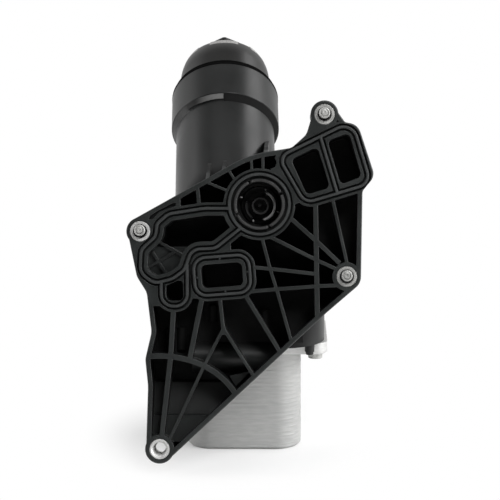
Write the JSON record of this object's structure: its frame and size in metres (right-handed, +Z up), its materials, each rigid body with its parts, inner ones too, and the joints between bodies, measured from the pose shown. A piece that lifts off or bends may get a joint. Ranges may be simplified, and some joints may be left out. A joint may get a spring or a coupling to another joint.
{
  "type": "oil filter housing",
  "caption": "Ribbed flange housing with a leaning cartridge bowl and screw cap, gasketed ports, captive bolts and a plate oil cooler underneath.",
  "frame": {"origin": "centre of the bottom fixing sleeve on the gasket face", "axes": "+Y from the gasket face into the housing, +Z up along the flange, +X right when facing the gasket face"},
  "size_m": [0.1646, 0.1793, 0.3041],
  "materials": {
    "black_plastic": "glass-filled moulded black, satin",
    "zinc_steel": "bright zinc",
    "spring_steel": "drawn wire",
    "seal_rubber": "satin black",
    "brazed_aluminium": "dull brazed",
    "filter_paper": "pleated paper"
  },
  "bodies": {
    "housing": {"housing": "black_plastic", "standpipe": "black_plastic", "bypass_retainer": "black_plastic", "bypass_spring": "spring_steel", "check_valve_cage": "black_plastic", "check_valve_spring": "spring_steel", "sleeve_top": "zinc_steel", "sleeve_left": "zinc_steel", "sleeve_right": "zinc_steel", "sleeve_bottom": "zinc_steel", "gasket_ports": "seal_rubber", "gasket_rect": "seal_rubber", "gasket_twin": "seal_rubber", "cooler_core": "brazed_aluminium", "cooler_mount_plate": "brazed_aluminium", "cooler_end_plate": "brazed_aluminium", "cooler_seals": "seal_rubber", "cooler_screws": "zinc_steel"},
    "cartridge": {"filter_media": "filter_paper", "filter_core": "black_plastic", "filter_end_cap_top": "black_plastic", "filter_end_cap_bottom": "black_plastic"},
    "cap": {"filter_cap": "black_plastic", "cap_o_ring": "seal_rubber", "cap_face_seal": "seal_rubber"},
    "check_valve": {"check_valve_poppet": "black_plastic"},
    "bypass_valve": {"bypass_poppet": "black_plastic"},
    "top_bolt": {"bolt_top": "zinc_steel"},
    "left_bolt": {"bolt_left": "zinc_steel"},
    "right_bolt": {"bolt_right": "zinc_steel"}
  },
  "joints": [
    {"name": "element_lift", "type": "slide", "parent": "housing", "child": "cartridge", "axis": [-0.0279, 0.6425, 0.7657], "range_m": [0, 0.016]},
    {"name": "cap_turn", "type": "hinge", "parent": "cartridge", "child": "cap", "pos_m": [0.03995, 0.11, 0.2214], "axis": [-0.0279, 0.6425, 0.7657], "range_deg": [0, 1440]},
    {"name": "check_valve_lift", "type": "slide", "parent": "housing", "child": "check_valve", "axis": [0, 1, 0], "range_m": [0, 0.005], "stiffness_N_per_m": 200, "springref_m": -0.002, "deforming": ["check_valve_spring"]},
    {"name": "bypass_valve_lift", "type": "slide", "parent": "housing", "child": "bypass_valve", "axis": [0.0279, -0.6425, -0.7657], "range_m": [0, 0.004], "stiffness_N_per_m": 400, "springref_m": -0.002, "deforming": ["bypass_spring"]},
    {"name": "top_bolt_slide", "type": "slide", "parent": "housing", "child": "top_bolt", "axis": [0, -1, 0], "range_m": [0, 0.012]},
    {"name": "left_bolt_slide", "type": "slide", "parent": "housing", "child": "left_bolt", "axis": [0, -1, 0], "range_m": [0, 0.012]},
    {"name": "right_bolt_slide", "type": "slide", "parent": "housing", "child": "right_bolt", "axis": [0, -1, 0], "range_m": [0, 0.012]}
  ],
  "couplings": [
    {"joint": "element_lift", "follows": "cap_turn", "m_per_rad": 0.00063662}
  ]
}
